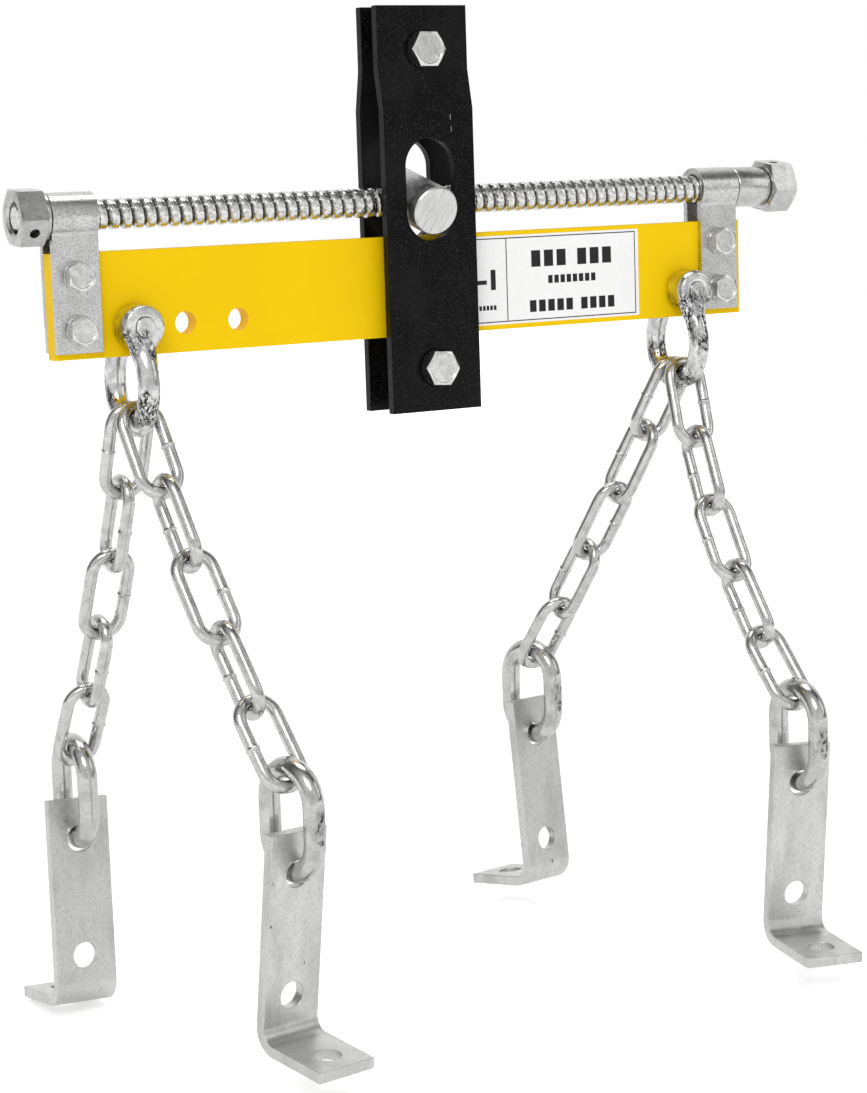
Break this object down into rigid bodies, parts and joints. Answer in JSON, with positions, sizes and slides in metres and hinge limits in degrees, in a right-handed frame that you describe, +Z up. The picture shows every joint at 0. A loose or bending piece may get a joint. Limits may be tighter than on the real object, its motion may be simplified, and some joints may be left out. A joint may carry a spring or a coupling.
{
  "type": "engine load leveller",
  "caption": "Engine load leveller: a spreader bar driven by a screw through a hanger's trunnion, with bow shackles and chain legs ending in L-brackets.",
  "frame": {"origin": "middle of the lifting bolt at the top of the hanger", "axes": "+X along the spreader bar towards the drive head, -Y towards the labelled face, +Z up towards the crane"},
  "size_m": [0.4534, 0.2617, 0.5129],
  "materials": {
    "black_coat": "glossy black powder coat",
    "yellow_paint": "smooth semi-gloss paint",
    "label_film": "printed film",
    "strap_zinc": "bright zinc plate",
    "fastener_zinc": "bright zinc plate",
    "trunnion_steel": "turned steel",
    "screw_steel": "rolled thread, zinc plate",
    "drive_zinc": "zinc plate",
    "pin_steel": "dark spring steel",
    "shackle_zinc": "forged, bright zinc plate",
    "bracket_zinc": "zinc plate with mill grain",
    "end_link_zinc": "bright zinc plate",
    "chain_zinc": "bright zinc plate"
  },
  "bodies": {
    "hanger": {"front_plate": "black_coat", "rear_plate": "black_coat", "lifting_bolt": "fastener_zinc", "lower_bolt": "fastener_zinc", "hanger_washers": "fastener_zinc", "hanger_nuts": "fastener_zinc", "spacer_tube": "fastener_zinc"},
    "trunnion": {"trunnion": "trunnion_steel"},
    "bar": {"spreader_bar": "yellow_paint", "label": "label_film", "left_strap": "strap_zinc", "right_strap": "strap_zinc", "strap_bolts": "fastener_zinc", "strap_washers": "fastener_zinc", "strap_nuts": "fastener_zinc"},
    "screw": {"screw": "screw_steel", "end_nut": "drive_zinc", "thrust_washer": "drive_zinc", "collar_sleeve": "drive_zinc", "drive_head": "drive_zinc", "roll_pins": "pin_steel"},
    "left_shackle": {"left_bow": "shackle_zinc", "left_pin": "shackle_zinc"},
    "right_shackle": {"right_bow": "shackle_zinc", "right_pin": "shackle_zinc"},
    "front_left_link_1": {"front_left_link_1": "chain_zinc"},
    "front_left_link_2": {"front_left_link_2": "chain_zinc"},
    "front_left_link_3": {"front_left_link_3": "chain_zinc"},
    "front_left_link_4": {"front_left_link_4": "chain_zinc"},
    "front_left_link_5": {"front_left_link_5": "chain_zinc"},
    "front_left_end_link": {"front_left_end_link": "end_link_zinc"},
    "front_left_bracket": {"front_left_bracket": "bracket_zinc"},
    "rear_left_link_1": {"rear_left_link_1": "chain_zinc"},
    "rear_left_link_2": {"rear_left_link_2": "chain_zinc"},
    "rear_left_link_3": {"rear_left_link_3": "chain_zinc"},
    "rear_left_link_4": {"rear_left_link_4": "chain_zinc"},
    "rear_left_link_5": {"rear_left_link_5": "chain_zinc"},
    "rear_left_end_link": {"rear_left_end_link": "end_link_zinc"},
    "rear_left_bracket": {"rear_left_bracket": "bracket_zinc"},
    "front_right_link_1": {"front_right_link_1": "chain_zinc"},
    "front_right_link_2": {"front_right_link_2": "chain_zinc"},
    "front_right_link_3": {"front_right_link_3": "chain_zinc"},
    "front_right_link_4": {"front_right_link_4": "chain_zinc"},
    "front_right_link_5": {"front_right_link_5": "chain_zinc"},
    "front_right_end_link": {"front_right_end_link": "end_link_zinc"},
    "front_right_bracket": {"front_right_bracket": "bracket_zinc"},
    "rear_right_link_1": {"rear_right_link_1": "chain_zinc"},
    "rear_right_link_2": {"rear_right_link_2": "chain_zinc"},
    "rear_right_link_3": {"rear_right_link_3": "chain_zinc"},
    "rear_right_link_4": {"rear_right_link_4": "chain_zinc"},
    "rear_right_link_5": {"rear_right_link_5": "chain_zinc"},
    "rear_right_end_link": {"rear_right_end_link": "end_link_zinc"},
    "rear_right_bracket": {"rear_right_bracket": "bracket_zinc"}
  },
  "joints": [
    {"name": "trunnion_tilt", "type": "hinge", "parent": "hanger", "child": "trunnion", "pos_m": [0, 0, -0.0758], "axis": [0, 1, 0], "range_deg": [-22, 22]},
    {"name": "bar_travel", "type": "slide", "parent": "trunnion", "child": "bar", "axis": [1, 0, 0], "range_m": [-0.11, 0.11]},
    {"name": "screw_turn", "type": "hinge", "parent": "bar", "child": "screw", "pos_m": [0, 0, -0.0758], "axis": [1, 0, 0], "range_deg": [-6600, 6600]},
    {"name": "left_shackle_swing", "type": "hinge", "parent": "bar", "child": "left_shackle", "pos_m": [-0.1628, 0, -0.1297], "axis": [0, 1, 0], "range_deg": [-45, 45]},
    {"name": "right_shackle_swing", "type": "hinge", "parent": "bar", "child": "right_shackle", "pos_m": [0.1608, 0, -0.1297], "axis": [0, 1, 0], "range_deg": [-45, 45]},
    {"name": "front_left_link_1_slide", "type": "hinge", "parent": "left_shackle", "child": "front_left_link_1", "pos_m": [-0.1628, 0, -0.1584], "axis": [-1, 0, 0], "range_deg": [-2.5, 40]},
    {"name": "front_left_link_2_bend", "type": "hinge", "parent": "front_left_link_1", "child": "front_left_link_2", "pos_m": [-0.15842, -0.02369, -0.20968], "axis": [0.9928, 0.0504, 0.1091], "range_deg": [-30, 30]},
    {"name": "front_left_link_3_bend", "type": "hinge", "parent": "front_left_link_2", "child": "front_left_link_3", "pos_m": [-0.15323, -0.04077, -0.24407], "axis": [0, 0.8957, -0.4446], "range_deg": [-30, 30]},
    {"name": "front_left_link_4_bend", "type": "hinge", "parent": "front_left_link_3", "child": "front_left_link_4", "pos_m": [-0.1475, -0.05876, -0.27791], "axis": [-0.989, -0.0694, -0.1305], "range_deg": [-30, 30]},
    {"name": "front_left_link_5_bend", "type": "hinge", "parent": "front_left_link_4", "child": "front_left_link_5", "pos_m": [-0.14124, -0.07765, -0.31116], "axis": [0, -0.8695, 0.4939], "range_deg": [-30, 30]},
    {"name": "front_left_end_link_bend", "type": "hinge", "parent": "front_left_link_5", "child": "front_left_end_link", "pos_m": [-0.13444, -0.09741, -0.34379], "axis": [0.9845, 0.0908, 0.15], "range_deg": [-12, 30]},
    {"name": "front_left_bracket_swing", "type": "hinge", "parent": "front_left_end_link", "child": "front_left_bracket", "pos_m": [-0.13444, -0.09741, -0.38539], "axis": [0.1965, -0.9744, -0.1097], "range_deg": [-60, 60]},
    {"name": "rear_left_link_1_slide", "type": "hinge", "parent": "left_shackle", "child": "rear_left_link_1", "pos_m": [-0.1628, 0, -0.1584], "axis": [1, 0, 0], "range_deg": [-2.5, 40]},
    {"name": "rear_left_link_2_bend", "type": "hinge", "parent": "rear_left_link_1", "child": "rear_left_link_2", "pos_m": [-0.16522, 0.01429, -0.21324], "axis": [-0.9978, -0.0167, 0.0641], "range_deg": [-30, 30]},
    {"name": "rear_left_link_3_bend", "type": "hinge", "parent": "rear_left_link_2", "child": "rear_left_link_3", "pos_m": [-0.16778, 0.02585, -0.25013], "axis": [0, 0.9542, 0.299], "range_deg": [-30, 30]},
    {"name": "rear_left_link_4_bend", "type": "hinge", "parent": "rear_left_link_3", "child": "rear_left_link_4", "pos_m": [-0.17035, 0.0392, -0.28642], "axis": [0.9978, 0.0229, -0.0622], "range_deg": [-30, 30]},
    {"name": "rear_left_link_5_bend", "type": "hinge", "parent": "rear_left_link_4", "child": "rear_left_link_5", "pos_m": [-0.17292, 0.05431, -0.32201], "axis": [0, -0.9205, -0.3907], "range_deg": [-30, 30]},
    {"name": "rear_left_end_link_bend", "type": "hinge", "parent": "rear_left_link_5", "child": "rear_left_end_link", "pos_m": [-0.17549, 0.07113, -0.35682], "axis": [-0.9978, -0.0288, 0.0597], "range_deg": [-30, 30]},
    {"name": "rear_left_bracket_swing", "type": "hinge", "parent": "rear_left_end_link", "child": "rear_left_bracket", "pos_m": [-0.17549, 0.07113, -0.39842], "axis": [-0.0173, 0.9917, -0.1271], "range_deg": [-60, 60]},
    {"name": "front_right_link_1_slide", "type": "hinge", "parent": "right_shackle", "child": "front_right_link_1", "pos_m": [0.1608, 0, -0.1584], "axis": [-1, 0, 0], "range_deg": [-2, 40]},
    {"name": "front_right_link_2_bend", "type": "hinge", "parent": "front_right_link_1", "child": "front_right_link_2", "pos_m": [0.15889, -0.01865, -0.21195], "axis": [0.9986, -0.0172, -0.0494], "range_deg": [-30, 30]},
    {"name": "front_right_link_3_bend", "type": "hinge", "parent": "front_right_link_2", "child": "front_right_link_3", "pos_m": [0.15849, -0.03404, -0.24751], "axis": [0, 0.9178, -0.3971], "range_deg": [-30, 30]},
    {"name": "front_right_link_4_bend", "type": "hinge", "parent": "front_right_link_3", "child": "front_right_link_4", "pos_m": [0.1597, -0.05198, -0.28183], "axis": [-0.9995, -0.0146, -0.0278], "range_deg": [-30, 30]},
    {"name": "front_right_link_5_bend", "type": "hinge", "parent": "front_right_link_4", "child": "front_right_link_5", "pos_m": [0.16254, -0.07234, -0.31468], "axis": [0, -0.8499, 0.527], "range_deg": [-30, 30]},
    {"name": "front_right_end_link_bend", "type": "hinge", "parent": "front_right_link_5", "child": "front_right_end_link", "pos_m": [0.167, -0.09497, -0.34582], "axis": [0.9934, 0.0676, 0.093], "range_deg": [-30, 30]},
    {"name": "front_right_bracket_swing", "type": "hinge", "parent": "front_right_end_link", "child": "front_right_bracket", "pos_m": [0.167, -0.09497, -0.38742], "axis": [-0.1545, -0.9868, -0.0489], "range_deg": [-60, 60]},
    {"name": "rear_right_link_1_slide", "type": "hinge", "parent": "right_shackle", "child": "rear_right_link_1", "pos_m": [0.1608, 0, -0.1584], "axis": [1, 0, 0], "range_deg": [-2, 40]},
    {"name": "rear_right_link_2_bend", "type": "hinge", "parent": "rear_right_link_1", "child": "rear_right_link_2", "pos_m": [0.14954, 0.01817, -0.21028], "axis": [-0.9511, -0.1021, 0.2917], "range_deg": [-30, 30]},
    {"name": "rear_right_link_3_bend", "type": "hinge", "parent": "rear_right_link_2", "child": "rear_right_link_3", "pos_m": [0.13886, 0.0323, -0.24474], "axis": [0, 0.9252, 0.3795], "range_deg": [-30, 30]},
    {"name": "rear_right_link_4_bend", "type": "hinge", "parent": "rear_right_link_3", "child": "rear_right_link_4", "pos_m": [0.12948, 0.04837, -0.27873], "axis": [0.9703, 0.1034, -0.2187], "range_deg": [-30, 30]},
    {"name": "rear_right_link_5_bend", "type": "hinge", "parent": "rear_right_link_4", "child": "rear_right_link_5", "pos_m": [0.12142, 0.06634, -0.31211], "axis": [0, -0.8805, -0.4741], "range_deg": [-30, 30]},
    {"name": "rear_right_end_link_bend", "type": "hinge", "parent": "rear_right_link_5", "child": "rear_right_end_link", "pos_m": [0.1147, 0.08617, -0.34471], "axis": [-0.9848, -0.0902, 0.1484], "range_deg": [-12, 30]},
    {"name": "rear_right_bracket_swing", "type": "hinge", "parent": "rear_right_end_link", "child": "rear_right_bracket", "pos_m": [0.1147, 0.08617, -0.38631], "axis": [-0.2314, 0.9638, -0.1323], "range_deg": [-60, 60]}
  ],
  "couplings": [
    {"joint": "screw_turn", "follows": "bar_travel", "rad_per_m": 989.48}
  ]
}
